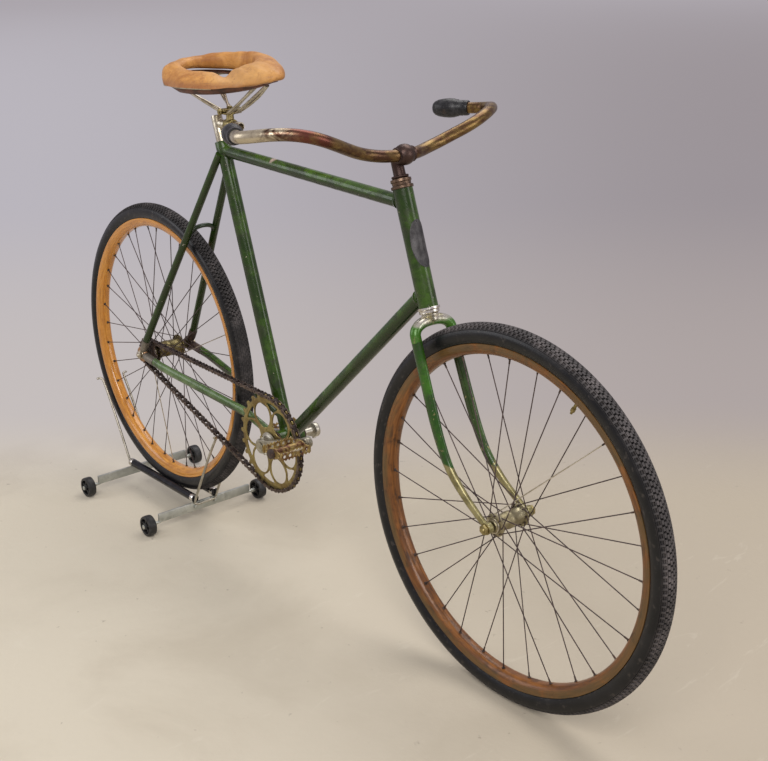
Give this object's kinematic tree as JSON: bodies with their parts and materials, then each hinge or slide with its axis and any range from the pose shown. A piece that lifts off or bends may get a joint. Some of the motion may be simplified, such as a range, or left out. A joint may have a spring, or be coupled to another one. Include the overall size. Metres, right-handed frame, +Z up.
{
  "type": "safety bicycle on a rolling display stand",
  "caption": "Old safety bicycle with a diamond frame, wooden rims, swept handlebar and ring saddle, its rear wheel in a low wheeled stand.",
  "frame": {"origin": "bottom centre of the bounding box: on the ground, halfway between the two axles", "axes": "+X forward along the bicycle, +Y to the rider's left, +Z up"},
  "size_m": [1.8602, 0.591, 1.112],
  "materials": {
    "green_enamel": "semi-gloss, chipped",
    "nickel": "worn nickel plate",
    "worn_brass": "satin, nickel worn through",
    "dark_steel": "oily, rusty",
    "tyre": "matt",
    "rear_rim_wood": "varnished",
    "front_rim_wood": "worn varnish",
    "saddle_leather": "worn",
    "grip": "satin",
    "galvanised": "dull zinc",
    "black_tube": "gloss",
    "stand_rubber": "matt"
  },
  "bodies": {
    "frame": {"head_tube": "green_enamel", "top_tube": "green_enamel", "down_tube": "green_enamel", "seat_tube": "green_enamel", "bottom_bracket": "green_enamel", "seat_stay_right": "green_enamel", "seat_stay_left": "green_enamel", "chain_stay_right": "green_enamel", "chain_stay_left": "green_enamel", "stay_bridge": "green_enamel", "fork_end_right": "dark_steel", "fork_end_left": "dark_steel", "headset_lower": "nickel", "headset_upper": "nickel", "seat_pillar": "nickel", "saddle_frame": "nickel", "saddle": "saddle_leather", "rear_axle": "worn_brass", "chain": "dark_steel", "stand_bar_front": "galvanised", "stand_bar_rear": "galvanised", "stand_tube_right": "black_tube", "stand_tube_left": "black_tube", "stand_prongs_front": "galvanised", "stand_prongs_rear": "galvanised"},
    "steering": {"fork_crown": "nickel", "fork_blade_right": "green_enamel", "fork_blade_left": "green_enamel", "front_axle": "worn_brass", "stem": "nickel", "handlebar": "worn_brass", "grip_right": "grip", "grip_left": "grip"},
    "front_wheel": {"front_tyre": "tyre", "front_rim": "front_rim_wood", "front_hub": "worn_brass"},
    "rear_wheel": {"rear_tyre": "tyre", "rear_rim": "rear_rim_wood", "rear_hub": "worn_brass", "rear_sprocket": "dark_steel"},
    "crankset": {"cranks": "worn_brass", "chainring": "worn_brass"},
    "pedal_right": {"pedal_right": "worn_brass"},
    "pedal_left": {"pedal_left": "worn_brass"},
    "stand_wheel_front_left": {"stand_wheel_front_left": "stand_rubber"},
    "stand_wheel_front_right": {"stand_wheel_front_right": "stand_rubber"},
    "stand_wheel_rear_left": {"stand_wheel_rear_left": "stand_rubber"},
    "stand_wheel_rear_right": {"stand_wheel_rear_right": "stand_rubber"}
  },
  "joints": [
    {"name": "steering_turn", "type": "hinge", "parent": "frame", "child": "steering", "pos_m": [0.3687, 0, 0.7029], "axis": [-0.3108, 0, 0.9505], "range_deg": [-70, 70]},
    {"name": "front_wheel_spin", "type": "hinge", "parent": "steering", "child": "front_wheel", "pos_m": [0.5745, 0, 0.3556], "axis": [0, 1, 0], "continuous": true},
    {"name": "rear_wheel_spin", "type": "hinge", "parent": "frame", "child": "rear_wheel", "pos_m": [-0.5745, 0, 0.4013], "axis": [0, 1, 0], "continuous": true, "deforming": ["chain"]},
    {"name": "crank_spin", "type": "hinge", "parent": "frame", "child": "crankset", "pos_m": [-0.0785, 0, 0.316], "axis": [0, 1, 0], "continuous": true, "deforming": ["chain"]},
    {"name": "pedal_right_spin", "type": "hinge", "parent": "crankset", "child": "pedal_right", "pos_m": [0.08458, 0, 0.37375], "axis": [0, 1, 0], "continuous": true},
    {"name": "pedal_left_spin", "type": "hinge", "parent": "crankset", "child": "pedal_left", "pos_m": [-0.24158, 0, 0.25825], "axis": [0, 1, 0], "continuous": true},
    {"name": "stand_wheel_rear_left_spin", "type": "hinge", "parent": "frame", "child": "stand_wheel_rear_left", "pos_m": [-0.7425, 0.158, 0.0248], "axis": [0, 1, 0], "continuous": true},
    {"name": "stand_wheel_rear_right_spin", "type": "hinge", "parent": "frame", "child": "stand_wheel_rear_right", "pos_m": [-0.7425, -0.158, 0.0248], "axis": [0, 1, 0], "continuous": true},
    {"name": "stand_wheel_front_left_spin", "type": "hinge", "parent": "frame", "child": "stand_wheel_front_left", "pos_m": [-0.4425, 0.158, 0.0248], "axis": [0, 1, 0], "continuous": true},
    {"name": "stand_wheel_front_right_spin", "type": "hinge", "parent": "frame", "child": "stand_wheel_front_right", "pos_m": [-0.4425, -0.158, 0.0248], "axis": [0, 1, 0], "continuous": true}
  ],
  "couplings": [
    {"joint": "crank_spin", "follows": "rear_wheel_spin", "ratio": 0.30769}
  ]
}
